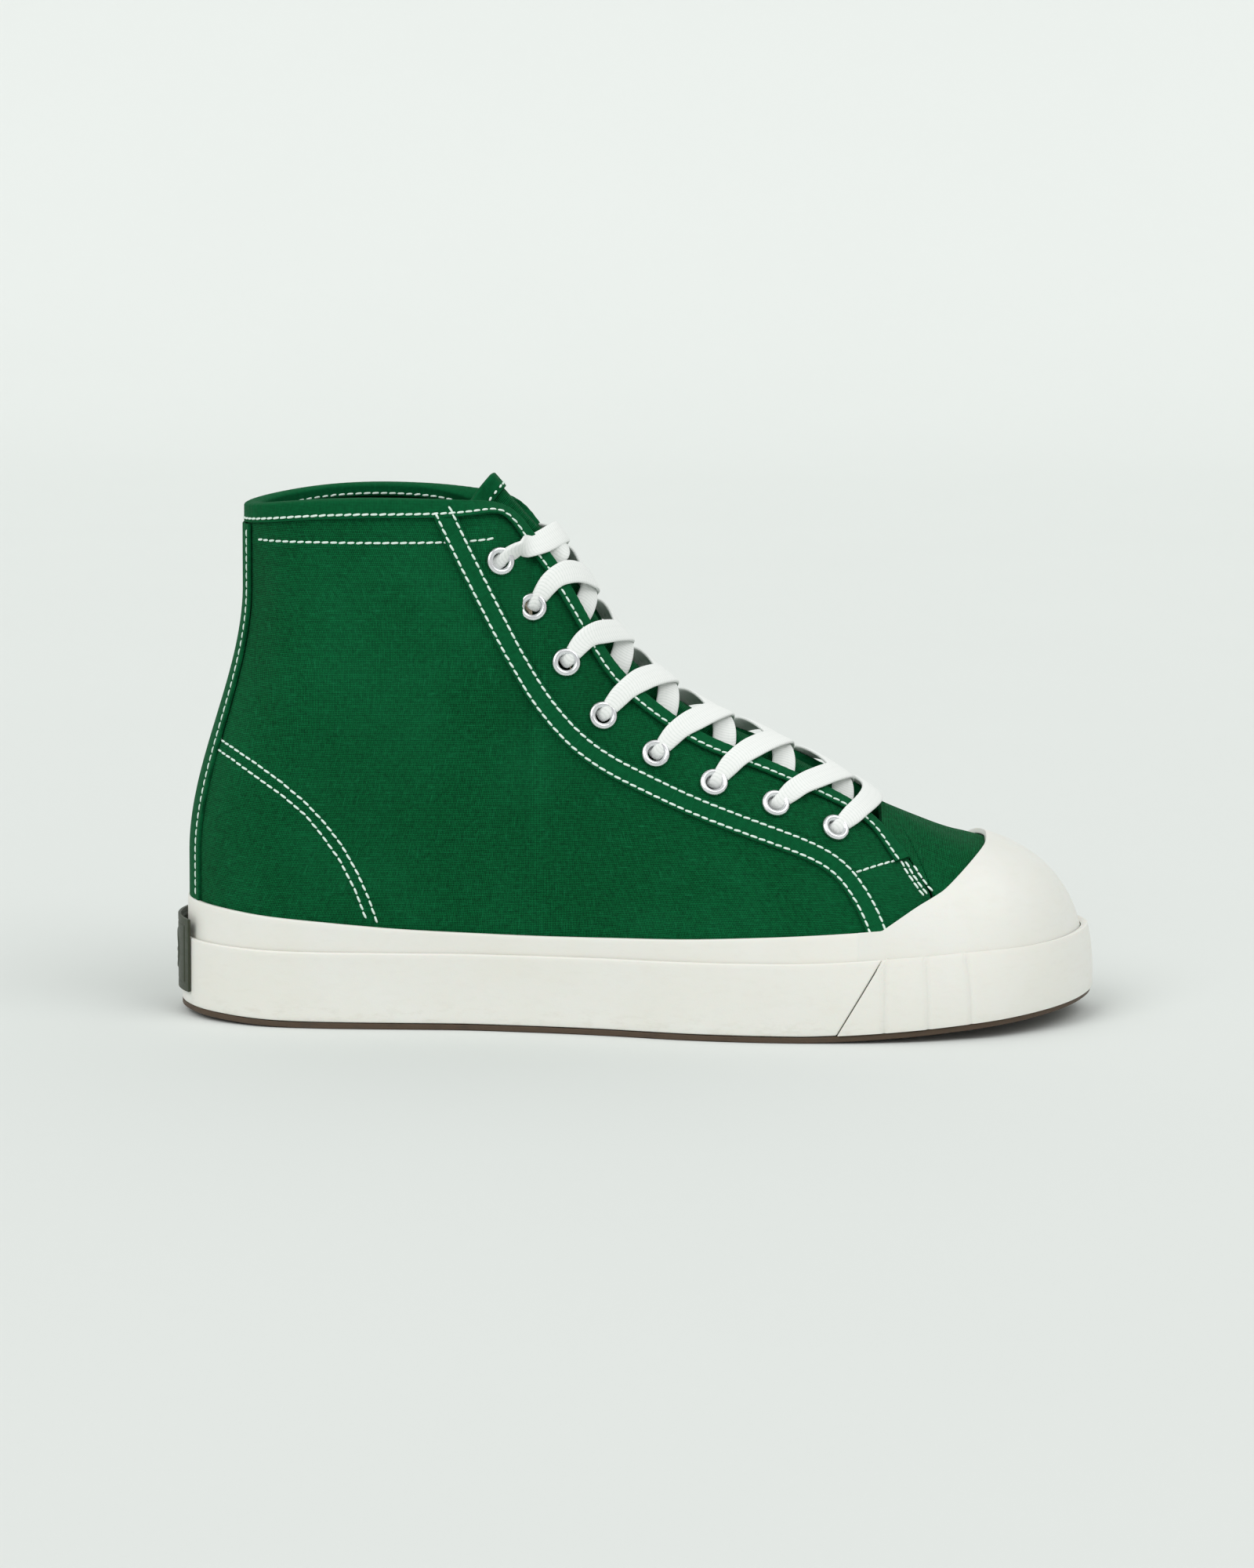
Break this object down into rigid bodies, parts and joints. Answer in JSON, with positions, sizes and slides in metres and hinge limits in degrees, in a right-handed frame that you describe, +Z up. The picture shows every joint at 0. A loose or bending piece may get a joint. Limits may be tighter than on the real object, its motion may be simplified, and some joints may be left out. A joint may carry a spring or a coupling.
{
  "type": "high-top sneaker",
  "caption": "Right canvas high-top sneaker with a rubber cupped sole, toe cap, metal eyelets and a flat lace; the tongue folds inward",
  "frame": {"origin": "under the middle of the sole, on the floor", "axes": "X from heel to toe, Y to the medial side, Z up"},
  "size_m": [0.3013, 0.1043, 0.1777],
  "materials": {
    "outsole_rubber": "matte gum rubber",
    "filler_rubber": "matte",
    "board": "fibre board",
    "sock": "cotton over foam",
    "sidewall_rubber": "satin off-white",
    "label_rubber": "matte dark olive",
    "canvas": "woven cotton canvas",
    "lining_cloth": "plain cotton",
    "stiffener": "fibre board",
    "tape_cloth": "woven tape",
    "eyelet_metal": "satin",
    "lace_cotton": "woven flat cotton",
    "aglet_plastic": "clear-coated"
  },
  "bodies": {
    "shoe": {"outsole": "outsole_rubber", "midsole_filler": "filler_rubber", "insole_board": "board", "sock_liner": "sock", "foxing_inner": "sidewall_rubber", "foxing_outer": "sidewall_rubber", "toe_bumper": "sidewall_rubber", "toe_cap": "sidewall_rubber", "heel_label": "label_rubber", "vamp": "canvas", "quarter_lateral": "canvas", "quarter_medial": "canvas", "lining_lateral": "lining_cloth", "lining_medial": "lining_cloth", "heel_counter": "stiffener", "eyestay_lateral": "stiffener", "eyestay_medial": "stiffener", "heel_strip": "tape_cloth", "tape_lateral": "tape_cloth", "tape_medial": "tape_cloth", "collar_binding": "tape_cloth", "throat_binding_lateral": "tape_cloth", "throat_binding_medial": "tape_cloth", "eyelets_lateral": "eyelet_metal", "eyelets_medial": "eyelet_metal", "lace": "lace_cotton", "aglet_lateral": "aglet_plastic", "aglet_medial": "aglet_plastic"},
    "tongue_body": {"tongue": "canvas", "tongue_binding": "tape_cloth"}
  },
  "joints": [
    {"name": "tongue_hinge", "type": "hinge", "parent": "shoe", "child": "tongue_body", "pos_m": [0.078, 0, 0.062], "axis": [0, 1, 0], "range_deg": [-8, 0]}
  ]
}
